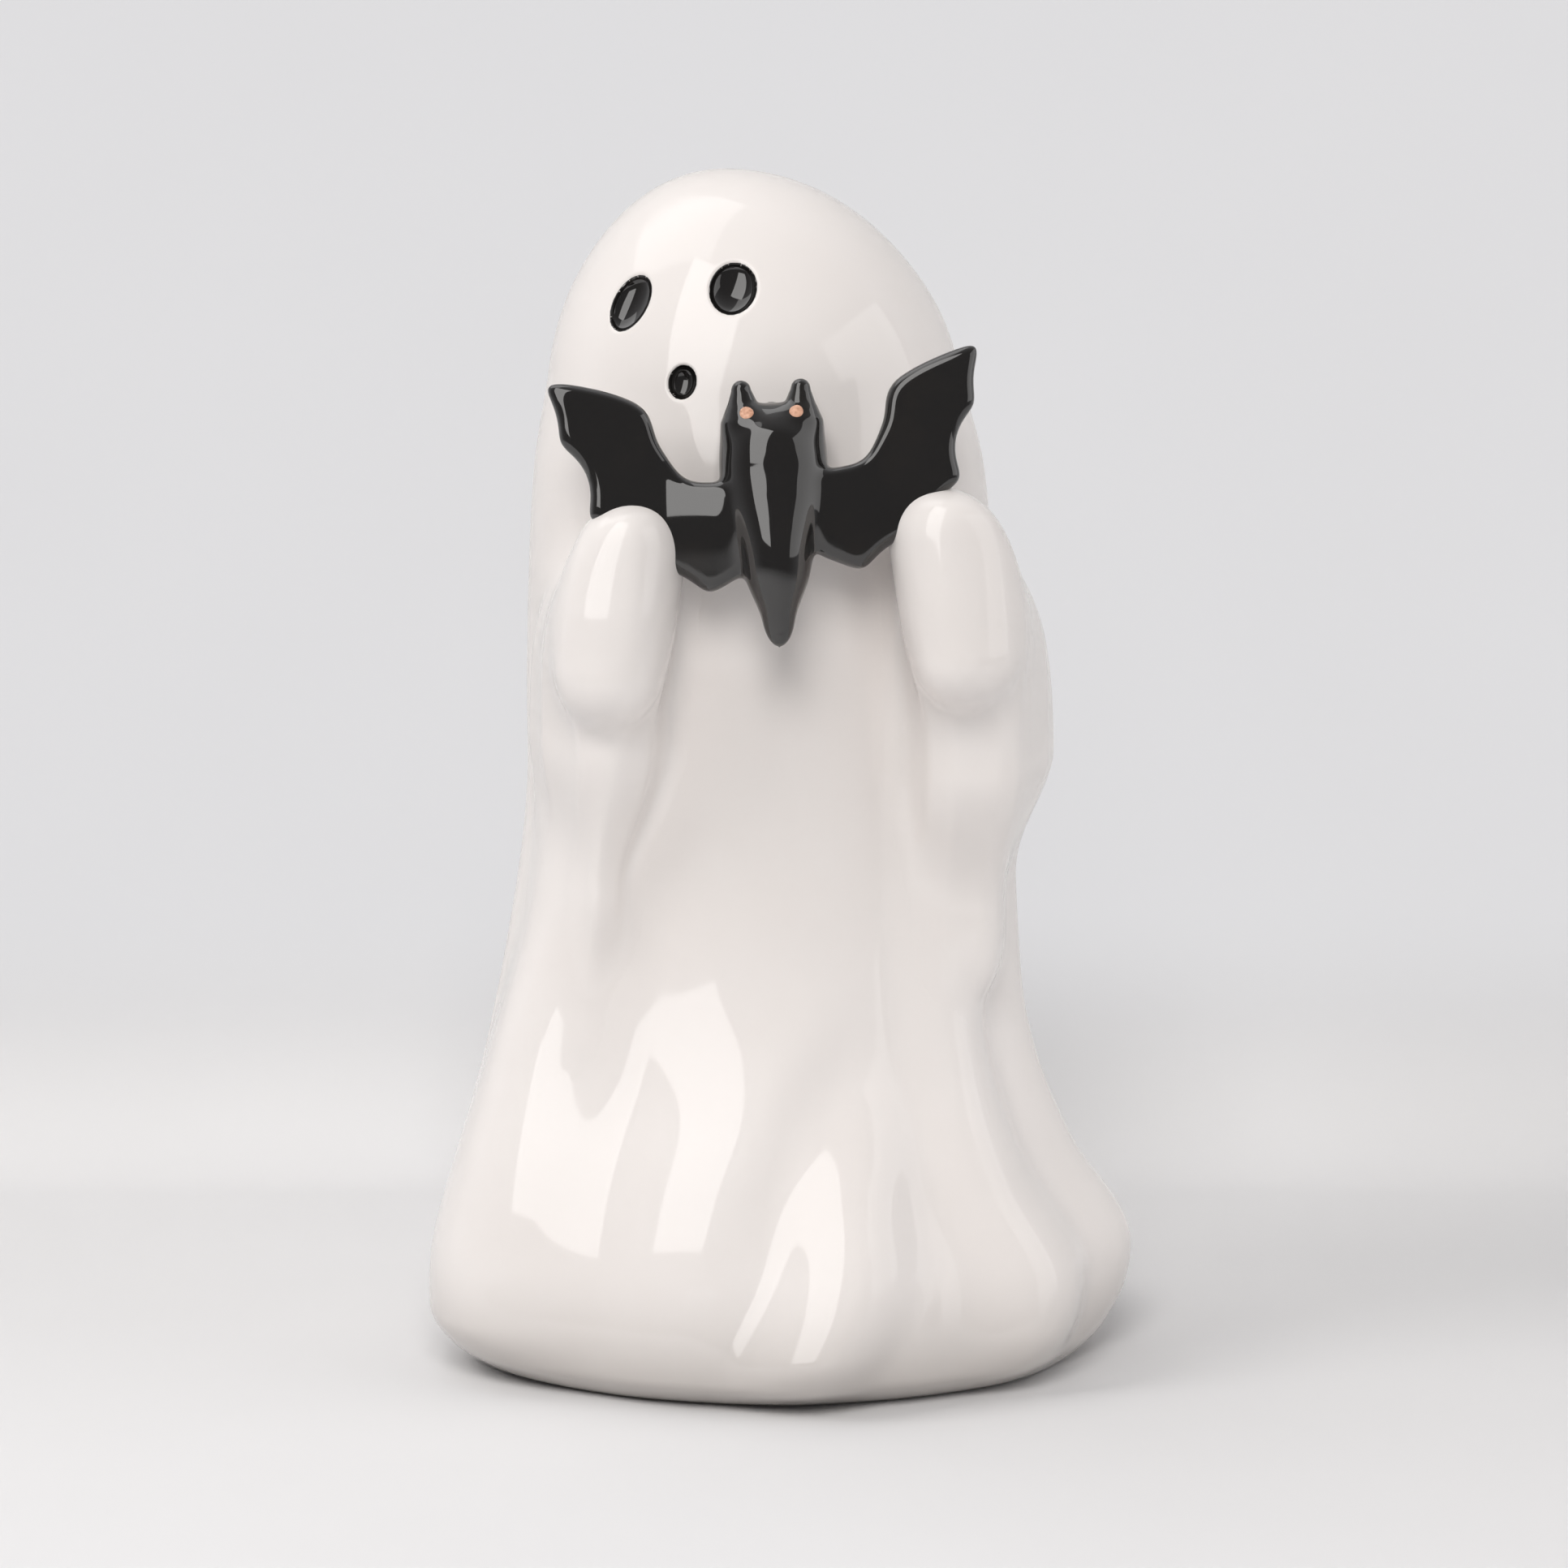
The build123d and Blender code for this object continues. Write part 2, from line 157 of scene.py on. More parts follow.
def blackGlaze():
    look = blackGlazeLook
    f = Finish(bpy.data.materials.new("blackGlaze"))
    place = f.place()
    thin = f.span(f.noise(place, look["cloud"], 4), 0.5, 0.75)
    colour = f.mix(thin, look["deep"], look["brown"])
    bump = f.bump(f.noise(place, look["wave"], 1, 0.3), look["waveStrength"], look["waveHeight"])
    rough = f.span(f.noise(place, look["patch"]), 0.3, 0.7, *look["gloss"])
    return f.coat(colour, rough, bump, look["ior"])


eyeEnamelLook = {
    "light": (0.72, 0.42, 0.29, 1), "dark": (0.50, 0.25, 0.16, 1),
    "patch": 1500.0,  # brushed on by hand
    "stroke": 2400.0, "strokeHeight": 0.00005, "strokeStrength": 0.4,
    "rough": 0.3, "patchRough": 0.2,
}


def eyeEnamel():
    look = eyeEnamelLook
    f = Finish(bpy.data.materials.new("eyeEnamel"))
    place = f.place()
    patch = f.span(f.noise(place, look["patch"]), 0.35, 0.7)
    colour = f.mix(patch, look["light"], look["dark"])
    bump = f.bump(f.noise(place, look["stroke"], 2), look["strokeStrength"], look["strokeHeight"])
    return f.coat(colour, look["rough"] + patch * look["patchRough"], bump)


dryFootLook = {
    "clay": (0.70, 0.66, 0.60, 1), "stain": (0.52, 0.48, 0.43, 1),
    "patch": 60.0,
    "grain": 2600.0, "grainHeight": 0.0001, "grainStrength": 0.6,
    "rough": 0.75, "grainRough": 0.15,
}


def dryFoot():
    look = dryFootLook
    f = Finish(bpy.data.materials.new("dryFoot"))
    place = f.place()
    stain = f.span(f.noise(place, look["patch"], 5), 0.5, 0.75)
    colour = f.mix(stain, look["clay"], look["stain"])
    grain = f.noise(place, look["grain"])
    bump = f.bump(grain, look["grainStrength"], look["grainHeight"])
    return f.coat(colour, look["rough"] + grain * look["grainRough"], bump)


white, black, enamel, biscuit = whiteGlaze(), blackGlaze(), eyeEnamel(), dryFoot()
print("finishes made")


# Meshes

def smoothPiece(name, points, faces, finish):  # points in metres
    mesh = bpy.data.meshes.new(name)
    mesh.from_pydata(points, [], faces)
    mesh.polygons.foreach_set("use_smooth", np.ones(len(mesh.polygons), bool))
    mesh.materials.append(finish)
    piece = bpy.data.objects.new(name, mesh)
    bpy.context.scene.collection.objects.link(piece)
    return piece


def makePiece(name, points, faces, finish, node, normals=None):  # points in millimetres
    piece = smoothPiece(name, (np.asarray(points) * mm).tolist(), faces, finish)
    if normals is not None:
        piece.data.normals_split_custom_set_from_vertices(normals.tolist())
    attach(piece, "root")
    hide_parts(node)
    print(name, len(piece.data.vertices), "points")
    return piece


def shellFaces(rows, columns):  # rings of points between two tips, which come after all the rings
    ring = np.arange(columns)
    after = np.roll(ring, -1)
    low = (np.arange(rows - 1) * columns)[:, None]
    quads = np.stack([low + columns + ring, low + columns + after, low + after, low + ring], -1)
    tip = np.full(columns, rows * columns)
    last = (rows - 1) * columns
    firstCap = np.stack([ring, after, tip], -1)
    lastCap = np.stack([last + after, last + ring, tip + 1], -1)
    return quads.reshape(-1, 4).tolist() + firstCap.tolist() + lastCap.tolist()


def ease(t):
    t = np.clip(t, 0.0, 1.0)
    return t * t * (3 - 2 * t)


def glide(t, start, end, startWay, endWay):  # smooth run from one value to another with given slopes
    ends = (1 + 2 * t) * (1 - t) ** 2 * start + t * t * (3 - 2 * t) * end
    return ends + (t * (1 - t) ** 2 * startWay + t * t * (t - 1) * endWay)


def spin(a, b, degrees):  # turns a pair of coordinates from a towards b
    c, s = math.cos(math.radians(degrees)), math.sin(math.radians(degrees))
    return a * c - b * s, a * s + b * c


def smoothMin(a, b, width):  # union of two fields with a soft valley of that width
    share = np.maximum(width - np.abs(a - b), 0) / width
    return np.minimum(a, b) - share ** 3 * width / 6


# The sheet: how far it reaches to each side of the axis, and its folds

sheet = {
    "height": 200.0,
    "wall": 5.0,
    "crownBase": 167.0,  # where the head starts to round over
    "crownLeft": 10.0,
    "crownBack": 0.4,
    "stations": [  # height, then reach to the left, right, front and back
        (0.0, 53.0, 50.0, 44.5, 45.5),
        (5.0, 54.9, 53.0, 51.6, 52.0),
        (20.0, 56.1, 55.9, 50.2, 55.6),
        (36.0, 52.7, 46.2, 45.4, 50.0),
        (54.0, 48.0, 39.3, 38.2, 44.4),
        (80.0, 43.5, 35.8, 34.4, 40.0),
        (118.0, 43.2, 35.6, 33.4, 37.0),
        (150.0, 41.8, 33.5, 36.6, 35.6),
        (167.0, 39.2, 29.2, 35.0, 34.2),
        (183.0, 37.6, 26.4, 32.2, 32.2),
    ],
    "hemHeight": 20.0,
    "foldFoot": 2.8,
    # angle at the hem, angle at the top, top height, swell, width of its left and right flank,
    # the height by which it is full, and the length over which it dies away below its top
    "folds": [
        (-58, -42, 128, 9.0, 30, 28, 14, 80),
        (-18, 16, 74, 3.2, 31, 16, 60, 34),
        (11, 26, 58, 6.8, 17, 15, 14, 34),
        (46, 43, 128, 5.5, 15, 22, 14, 34),
        (84, 74, 112, 3.0, 22, 22, 14, 34),
        (122, 114, 98, 3.2, 22, 22, 14, 34),
        (160, 150, 122, 3.0, 22, 22, 14, 34),
        (196, 190, 92, 3.0, 20, 20, 14, 34),
        (232, 216, 124, 3.2, 22, 22, 14, 34),
        (278, 276, 104, 2.2, 23, 23, 14, 34),
    ],
}
sides = ("left", "right", "front", "back")  # order of the reaches in a station


def reach(side, z):
    table = np.array(sheet["stations"])
    h, v = table[:, 0], table[:, 1 + sides.index(side)]
    ends = np.arange(len(h))
    before, after = np.maximum(ends - 1, 0), np.minimum(ends + 1, len(h) - 1)
    slope = (v[after] - v[before]) / (h[after] - h[before])
    over = np.maximum(z - h[-1], 0)  # past the last station it runs on, ever more upright
    z = np.clip(z, h[0], h[-1])
    i = np.clip(np.searchsorted(h, z, side="right") - 1, 0, len(h) - 2)
    run = h[i + 1] - h[i]
    above = slope[-1] * over * (1 - over / (2 * (sheet["height"] - h[-1])))
    return glide((z - h[i]) / run, v[i], v[i + 1], run * slope[i], run * slope[i + 1]) + above


def swell(angle, z):  # how far the folds push the sheet out
    total = 0.0
    for hemAngle, topAngle, topHeight, height, leftFlank, rightFlank, full, dies in sheet["folds"]:
        climb = np.minimum((z - sheet["hemHeight"]) / (topHeight - sheet["hemHeight"]), 1)
        off = (angle - hemAngle - climb * (topAngle - hemAngle) + 180) % 360 - 180
        fade = ease((topHeight - z) / dies) * ease((z + sheet["foldFoot"]) / full)
        total = total + height * fade * ease(1 - np.where(off < 0, -off / leftFlank, off / rightFlank))
    return total


def ovals(z, inset=0.0):  # middle and half sizes without the folds, and how far the head has rounded in
    rise = np.maximum(z - sheet["crownBase"], 0) / (sheet["height"] - sheet["crownBase"] - inset)
    shrink = np.sqrt(np.maximum(1 - rise * rise, 0))
    left, right, front, back = (reach(side, z) for side in sides)
    middleX = shrink * (right - left) / 2 - (1 - shrink) * sheet["crownLeft"]
    middleY = shrink * (back - front) / 2 + (1 - shrink) * sheet["crownBack"]
    return middleX, middleY, (left + right) / 2 - inset, (front + back) / 2 - inset, shrink


def skin(angle, z, inset=0.0):  # points of the sheet's surface at angles and heights
    middleX, middleY, width, depth, shrink = ovals(z, inset)
    out = swell(angle, z)
    turn = np.radians(angle)
    x = middleX + (width + out) * shrink * np.sin(turn)
    y = middleY - (depth + out) * shrink * np.cos(turn)
    return np.stack(np.broadcast_arrays(x, y, z), -1)


def sheetField(x, y, z):  # distance from the sheet, negative inside
    belowTip = sheet["height"] - 1
    middleX, middleY, width, depth, shrink = ovals(np.clip(z, 0, belowTip))
    dx, dy = x - middleX, middleY - y
    angle = np.arctan2(dx / width, dy / depth)
    for _ in range(2):
        out = swell(np.degrees(angle), z)
        angle = np.arctan2(dx / (width + out), dy / (depth + out))
    w, d = (width + out) * shrink, (depth + out) * shrink
    share = np.hypot(dx / w, dy / d)
    return (share - 1) * np.hypot(w * np.sin(angle), d * np.cos(angle))


# Face: three recesses in the head, each lined with black glaze

face = {
    "leftEye": {"angle": -41.2, "drop": 19.6, "width": 7.6, "tall": 9.8, "deep": 2.4, "lean": 10},
    "rightEye": {"angle": -4.4, "drop": 16.6, "width": 7.6, "tall": 9.4, "deep": 2.4, "lean": 4},
    "mouth": {"angle": -19.9, "drop": 31.5, "width": 4.7, "tall": 5.5, "deep": 2.0, "lean": 8},
}
rim = {
    "roll": 0.16, "dip": 0.35, "proud": 0.12,  # the white glaze rolls in before the black starts
    "backing": 0.5, "lap": 1.09,
    "near": 6.0,  # how far from a recess the sheet is still pressed
}
bowl = {"rings": 26, "turns": 96, "innermost": 0.04, "lip": 0.2}  # the lip as a share of the backing
faceNodes = {"leftEye": "left_eye_glaze", "rightEye": "right_eye_glaze", "mouth": "mouth_glaze"}
probe = 0.5  # step at which the sheet's slopes are taken, in degrees and millimetres


def slopes(angle, z):  # how the sheet runs on with the angle and with the height
    turn = skin(angle + probe, z) - skin(angle - probe, z)
    climb = skin(angle, z + probe) - skin(angle, z - probe)
    return turn / (2 * probe), climb / (2 * probe)


def seat(recess):  # middle, across, up and out of a recess
    angle, z = np.float64(recess["angle"]), np.float64(sheet["height"] - recess["drop"])
    out = np.cross(*slopes(angle, z))
    out /= np.linalg.norm(out)
    side = np.cross((0, 0, 1), out)
    side /= np.linalg.norm(side)
    top, side = spin(np.cross(out, side), side, -recess["lean"])
    return skin(angle, z), side, top, out


def pressFace(points):  # pushes the sheet's points in where the recesses are
    for recess in face.values():
        spot, side, top, out = seat(recess)
        off = points - spot
        share = np.hypot(off @ side / (recess["width"] / 2), off @ top / (recess["tall"] / 2))
        near = np.abs(off @ out) < rim["near"]
        lip = np.clip(1 - (share - 1) / rim["roll"], 0, 1) ** 2 * rim["dip"]
        pit = (recess["deep"] + rim["backing"]) * np.sqrt(np.clip(1 - share ** 2, 0, 1))
        points = points - np.where(near, lip + pit, 0)[..., None] * out
    return points


def overSeat(recess, s, t):  # points of the sheet over places of a recess's plane
    spot, side, top, out = seat(recess)
    angle = np.full(s.shape, recess["angle"], float)
    z = np.full(s.shape, sheet["height"] - recess["drop"], float)
    turn, climb = slopes(angle[0], z[0])
    undo = np.linalg.inv(np.array([[turn @ side, climb @ side], [turn @ top, climb @ top]]))
    for _ in range(10):
        off = skin(angle, z) - spot
        miss = np.stack([s - off @ side, t - off @ top])
        angle, z = angle + undo[0] @ miss, z + undo[1] @ miss
    return skin(angle, z), out


def glazeBowl(name):
    recess = face[name]
    rings, columns = bowl["rings"], bowl["turns"]
    turns = np.linspace(0, 2 * math.pi, columns, endpoint=False)
    shares = rim["lap"] * np.sin(np.linspace(bowl["innermost"], 1, rings) * math.pi / 2)
    r, a = (grid.ravel() for grid in np.meshgrid(shares, turns, indexing="ij"))
    base, out = overSeat(recess, r * np.cos(a) * recess["width"] / 2, r * np.sin(a) * recess["tall"] / 2)
    hollow = np.sqrt(np.clip(1 - r ** 2, 0, 1))
    layers = []
    for backing in (0.0, rim["backing"] / 2):
        depth = rim["dip"] - rim["proud"] + (recess["deep"] + backing) * hollow + backing * bowl["lip"]
        layers.append((base - depth[:, None] * out).reshape(rings, columns, 3))
    front, back = layers
    rows = np.concatenate([front, back[::-1]])  # from the middle of the front over the rim to the back
    points = np.concatenate([rows.reshape(-1, 3), front[:1].mean(1), back[:1].mean(1)])
    faces = shellFaces(len(rows), columns)
    makePiece(name + "Glaze", points, faces, black, faceNodes[name])


# Body: a closed shell, down the outside, under the foot, through the pour hole and up the cavity

body = {
    "faceFrom": -64.0, "faceTo": 18.0,  # the face has finer columns and rows
    "fineTurn": 0.42, "turn": 1.0,
    "faceLow": 160.0, "faceHigh": 190.0,
    "fineRise": 0.25, "rise": 0.8, "crownRows": 70,
    "footRound": 1.4, "footRows": 7,
    "footRing": 9.0, "ringEdge": (0.6, 0.4), "ringSlope": 0.3,
    "footRecess": 1.6, "recessIn": 8.0,
    "floorWall": 5.5, "pourHole": 24.0, "holeEdge": (1.0, 0.8),
    "cavityRise": 4.0, "cavityTurns": (4, 90, 5),  # rows up the inside, and degrees over its crown
}


def columnAngles():
    fine = np.arange(body["faceFrom"], body["faceTo"], body["fineTurn"])
    count = round((360 - body["faceTo"] + body["faceFrom"]) / body["turn"])
    rest = np.linspace(body["faceTo"], 360 + body["faceFrom"], count, endpoint=False)
    return np.concatenate([fine, rest])


def rowHeights():
    low = np.arange(body["footRound"], body["faceLow"], body["rise"])
    middle = np.arange(body["faceLow"], body["faceHigh"], body["fineRise"])
    crown = sheet["height"] - sheet["crownBase"]
    start = math.asin((body["faceHigh"] - sheet["crownBase"]) / crown)
    turns = np.linspace(start, math.pi / 2, body["crownRows"])[:-1]
    return np.concatenate([low, middle, sheet["crownBase"] + crown * np.sin(turns)])


def ghostBody():
    angles = columnAngles()
    columns = len(angles)
    turn = np.radians(angles)
    rows = []

    def level(height, inset=0.0):
        rows.append(skin(angles, np.full(columns, height), inset))

    def atFloor(inset, height):  # a ring inside the foot's outline
        ring = skin(angles, np.zeros(columns), inset)
        ring[:, 2] = height
        rows.append(ring)

    def circle(radius, height):
        rows.append(np.stack([radius * np.sin(turn), -radius * np.cos(turn), np.full(columns, height)], -1))

    for height in rowHeights()[::-1]:
        level(height)
    inner = skin(angles, np.zeros(columns), body["footRound"])
    for share in np.linspace(0, 1, body["footRows"])[1:]:  # rounded edge at the floor
        bend = share * math.pi / 2
        ring = skin(angles, np.full(columns, body["footRound"] * (1 - math.sin(bend))), 0.0)
        ring[:, :2] += (inner[:, :2] - ring[:, :2]) * (1 - math.cos(bend))
        rows.append(ring)
    footRow = len(rows)
    ringIn, lift = body["footRing"], body["footRecess"]
    edgeIn, edgeUp = body["ringEdge"]
    atFloor(ringIn - edgeIn, 0.0)
    atFloor(ringIn, edgeUp)
    atFloor(ringIn + body["ringSlope"], lift)
    atFloor(ringIn + body["recessIn"], lift)
    hole, floor = body["pourHole"] / 2, lift + body["floorWall"]
    edgeOut, edgeUp = body["holeEdge"]
    circle(hole + edgeOut, lift)
    circle(hole, lift + edgeUp)
    circle(hole, floor - edgeUp)
    circle(hole + edgeOut, floor)
    crown = sheet["height"] - sheet["crownBase"] - sheet["wall"]
    low = np.arange(floor, sheet["crownBase"], body["cavityRise"])
    high = sheet["crownBase"] + crown * np.sin(np.radians(np.arange(*body["cavityTurns"])))
    for height in np.concatenate([low, high]):
        level(height, sheet["wall"])
    points = np.array(rows)
    points[:footRow] = pressFace(points[:footRow])
    peak = (-sheet["crownLeft"], sheet["crownBack"])
    tips = [(*peak, sheet["height"] - down) for down in (0.0, sheet["wall"])]
    points = np.concatenate([points.reshape(-1, 3), tips])
    faces = shellFaces(len(rows), columns)
    piece = makePiece("drapedBody", points, faces, white, "ghost_body")
    piece.data.materials.append(biscuit)
    slots = np.zeros(len(faces), np.int32)
    slots[(footRow - 1) * columns:(len(rows) - 1) * columns] = 1  # dry from the foot ring inwards
    piece.data.polygons.foreach_set("material_index", slots)


ghostBody()
for name in face:
    glazeBowl(name)


# Soft forms: a field on a grid, negative inside, meshed with one point in each cell that its skin crosses

class Field:
    def __init__(self, low, high, step):
        self.low, self.step = np.array(low, float), step
        axes = [np.arange(a, b + step, step) for a, b in zip(low, high)]
        self.x, self.y, self.z = np.meshgrid(*axes, indexing="ij")

    def settle(self, values):  # keeps the field and its slope
        self.values = values
        self.slope = np.stack(np.gradient(values, self.step), -1)

    def at(self, grid, points):  # values of a grid between its points
        place = (points - self.low) / self.step
        first = np.clip(np.floor(place).astype(int), 0, np.array(grid.shape[:3]) - 2)
        t = place - first
        total = 0.0
        for corner in np.ndindex(2, 2, 2):
            i, j, k = (first + corner).T
            share = np.prod(np.where(corner, t, 1 - t), 1)
            value = grid[i, j, k]
            total = total + value * (share[:, None] if value.ndim > 1 else share)
        return total

    def draw(self, points, rounds=6):  # slides points on to the surface
        for _ in range(rounds):
            slope = self.at(self.slope, points)
            length = np.maximum((slope ** 2).sum(1), 0.05)
            points = points - slope * (self.at(self.values, points) / length)[:, None]
        return points

    def normals(self, points):
        slope = self.at(self.slope, points)
        return slope / np.linalg.norm(slope, axis=1, keepdims=True)

    def mesh(self):
        values = self.values
        inside = values < 0
        cells = np.array(values.shape) - 1
        total = np.zeros((cells.prod(), 3))
        hits = np.zeros(cells.prod())
        loops = []
        for axis in range(3):
            ahead = np.eye(3, dtype=int)[axis]
            start = tuple(slice(0, -1) if a == axis else slice(None) for a in range(3))
            end = tuple(slice(1, None) if a == axis else slice(None) for a in range(3))
            spots = np.argwhere(inside[start] != inside[end])
            a = values[tuple(spots.T)]
            b = values[tuple((spots + ahead).T)]
            crossing = spots + (a / (a - b))[:, None] * ahead
            second, third = np.eye(3, dtype=int)[[(axis + 1) % 3, (axis + 2) % 3]]
            corners = []
            for shift in (0 * second, second, second + third, third):
                cell = spots - shift
                held = ((cell >= 0) & (cell < cells)).all(1)
                index = np.where(held, cell @ (cells[1] * cells[2], cells[2], 1), -1)
                np.add.at(total, index[held], crossing[held])
                np.add.at(hits, index[held], 1)
                corners.append(index)
            quad = np.stack(corners, -1)
            quad[a > 0] = quad[a > 0][:, ::-1]
            loops.append(quad[(quad >= 0).all(1)])
        used = np.flatnonzero(hits)
        number = np.full(len(hits), -1)
        number[used] = np.arange(len(used))
        points = self.low + total[used] / hits[used][:, None] * self.step
        return self.draw(points), number[np.concatenate(loops)]


def limb(p, start, end, startRadius, endRadius):  # round bar between two points
    start, along = np.array(start, float), np.array(end, float) - start
    off = [a - b for a, b in zip(p, start)]
    share = np.clip(sum(o * d for o, d in zip(off, along)) / (along @ along), 0, 1)
    apart = np.sqrt(sum((o - share * d) ** 2 for o, d in zip(off, along)))
    return apart - startRadius - share * (endRadius - startRadius)


def outlineField(outline, x, y):  # distance from a closed outline in its plane, negative inside
    best = np.full(x.shape, np.inf)
    inside = np.zeros(x.shape, bool)
    for (ax, ay), (bx, by) in zip(outline, np.roll(outline, -1, 0)):
        ex, ey = bx - ax, by - ay
        wx, wy = x - ax, y - ay
        t = np.clip((wx * ex + wy * ey) / max(ex * ex + ey * ey, 1e-12), 0, 1)
        best = np.minimum(best, (wx - t * ex) ** 2 + (wy - t * ey) ** 2)
        if ay != by:
            inside ^= ((ay > y) != (by > y)) & (x < ex * (y - ay) / ey + ax)
    return np.where(inside, -1, 1) * np.sqrt(best)


def soften(grid, width):  # blurs a flat grid, which rounds the corners of an outline
    span = math.ceil(width * 2.5)
    weights = np.exp(-(np.arange(-span, span + 1) / width) ** 2 / 2)
    weights /= weights.sum()
    for axis in (0, 1):
        padded = np.pad(grid, [(span, span) if a == axis else (0, 0) for a in (0, 1)], "edge")
        size = grid.shape[axis]
        grid = sum(w * np.take(padded, range(i, i + size), axis) for i, w in enumerate(weights))
    return grid


# Arms: lobes under the sheet, melted into the body

arms = {
    "leftArm": {
        "node": "left_arm",
        "low": (-60, -58, 52), "high": (-8, -2, 162),
        "hand": ((-24.2, -42.6, 142.9), (-28.2, -45.6, 122.4), 7.3, 7.3),  # its two ends and their radii
        "cloth": [  # outline from above, at heights going down
            (134, [
                (-17.5, -30), (-19.4, -42), (-25, -49.5), (-34, -49), (-40.6, -38), (-43.2, -18), (-28, -8),
            ]),
            (109, [
                (-19, -30), (-21.8, -39), (-27, -43.5), (-33, -42), (-39.8, -30), (-41.5, -15), (-28, -8),
            ]),
            (84, [
                (-24.5, -21), (-27.4, -33.5), (-31, -36), (-34, -30), (-35.5, -20), (-35, -12), (-30, -6),
            ]),
            (62, [
                (-27, -18), (-29, -26), (-31, -27.5), (-33, -25), (-34, -18), (-34, -12), (-30, -6),
            ]),
        ],
        "end": 60.0, "endRound": 8.0,  # where the cloth ends
        "tops": [(0.90, 0.0, 0.43, 92.2), (0.0, 0.40, 0.92, 116.0)], "topRound": 12.0,  # planes above it
    },
    "rightArm": {
        "node": "right_arm",
        "low": (8, -58, 56), "high": (60, 8, 164),
        "hand": ((25.1, -42.6, 144.9), (29.2, -45.6, 125.4), 7.3, 7.3),
        "cloth": [
            (136, [
                (20, -28), (20.5, -42), (26.5, -49), (34, -48), (38.5, -43.5), (41.5, -37), (45, -22),
                (45.6, -11), (43, -3), (34, 2), (24, -8),
            ]),
            (105, [
                (20, -28), (23.8, -37.5), (28, -40), (35.6, -39.4), (38.2, -37.2), (39.8, -33), (43.8, -20),
                (45.2, -11), (43, -3), (34, 2), (24, -8),
            ]),
            (80, [
                (20, -18), (22.5, -25.5), (27, -29), (33, -27.6), (35, -25.4), (36, -22), (36.5, -14),
                (36.5, -8), (35, -3), (32, 2), (22, -8),
            ]),
        ],
        "end": 66.0, "endRound": 14.0,
        "tops": [(0.93, 0.0, 0.37, 87.4), (0.0, 0.40, 0.92, 118.0)], "topRound": 10.0,
    },
}
armBlend = {
    "lobes": 13.0, "body": 6.0,
    "outer": 12.0, "outerFrom": 27.0, "outerOver": 9.0,  # softer away from the chest
    "step": 0.5, "film": 0.03, "tuck": 0.05, "soften": 1.0,
}
armBack = {"grid": 2.5, "clear": 1.5, "inset": 0.6, "perDegree": 0.65}  # hidden side, millimetres a degree


def hangingCloth(plan, field):
    heights = [height for height, outline in plan["cloth"]]
    outlines = np.array([outline for height, outline in plan["cloth"]], float)
    shape = np.empty(field.x.shape)
    for level, z in enumerate(field.z[0, 0]):
        moved = outlines[0]
        for above, below, high, low in zip(outlines, outlines[1:], heights, heights[1:]):
            moved = moved + ease((high - z) / (high - low)) * (below - above)
        flat = outlineField(moved, field.x[:, :, 0], field.y[:, :, 0])
        shape[:, :, level] = soften(flat, armBlend["soften"] / field.step)
    shape = -smoothMin(-shape, field.z - plan["end"], plan["endRound"])
    for out, back, rise, limit in plan["tops"]:
        clear = limit - out * np.abs(field.x) - back * field.y - rise * field.z
        shape = -smoothMin(-shape, clear, plan["topRound"])
    return shape


def arm(name):
    plan, blend = arms[name], armBlend
    field = Field(plan["low"], plan["high"], blend["step"])
    p = (field.x, field.y, field.z)
    sheetAway = sheetField(*p)
    slope = np.sqrt(sum(g ** 2 for g in np.gradient(sheetAway, blend["step"])))
    sheetAway = sheetAway / np.maximum(slope, 0.5)
    lobes = smoothMin(hangingCloth(plan, field), limb(p, *plan["hand"]), blend["lobes"])
    outer = ease((np.abs(field.x) - blend["outerFrom"]) / blend["outerOver"])
    field.settle(smoothMin(sheetAway, lobes, blend["body"] + outer * (blend["outer"] - blend["body"])))
    points, quads = field.mesh()
    away = field.at(sheetAway, points)
    quads = largestPatch(quads[(away[quads] > blend["film"]).all(1)])
    used, quads = np.unique(quads, return_inverse=True)
    points, quads = points[used], quads.reshape(-1, 4)
    normals = field.normals(points)
    loop = borderLoop(quads)
    down = field.at(np.stack(np.gradient(sheetAway, blend["step"]), -1), points[loop])
    sink = field.at(sheetAway, points[loop]) + blend["tuck"]
    points[loop] -= down / np.linalg.norm(down, axis=1, keepdims=True) * sink[:, None]
    backPoints, backFaces = backing(points, loop)
    points = np.concatenate([points, backPoints])
    normals = np.concatenate([normals, np.tile((0.0, 1.0, 0.0), (len(backPoints), 1))])
    faces = quads.tolist() + backFaces
    makePiece(name, points, faces, white, plan["node"], normals)


def largestPatch(quads):  # keeps the quads that hang together with most of the rest
    group = np.arange(quads.max() + 1)
    while True:
        least = group[quads].min(1)
        after = group.copy()
        np.minimum.at(after, quads.ravel(), np.repeat(least, 4))
        after = after[after]
        if (after == group).all():
            break
        group = after
    owner = group[quads[:, 0]]
    return quads[owner == np.bincount(owner).argmax()]


def borderLoop(quads):  # longest run of edges that have a face on one side only
    edges = np.concatenate([quads[:, [i, (i + 1) % 4]] for i in range(4)])
    there = {(a, b) for a, b in edges.tolist()}
    follow = {a: b for a, b in there if (b, a) not in there}
    loops = []
    while follow:
        start, step = follow.popitem()
        loop = [start]
        while step != start and step in follow:
            loop.append(step)
            step = follow.pop(step)
        loops.append(loop)
    return np.array(max(loops, key=len))


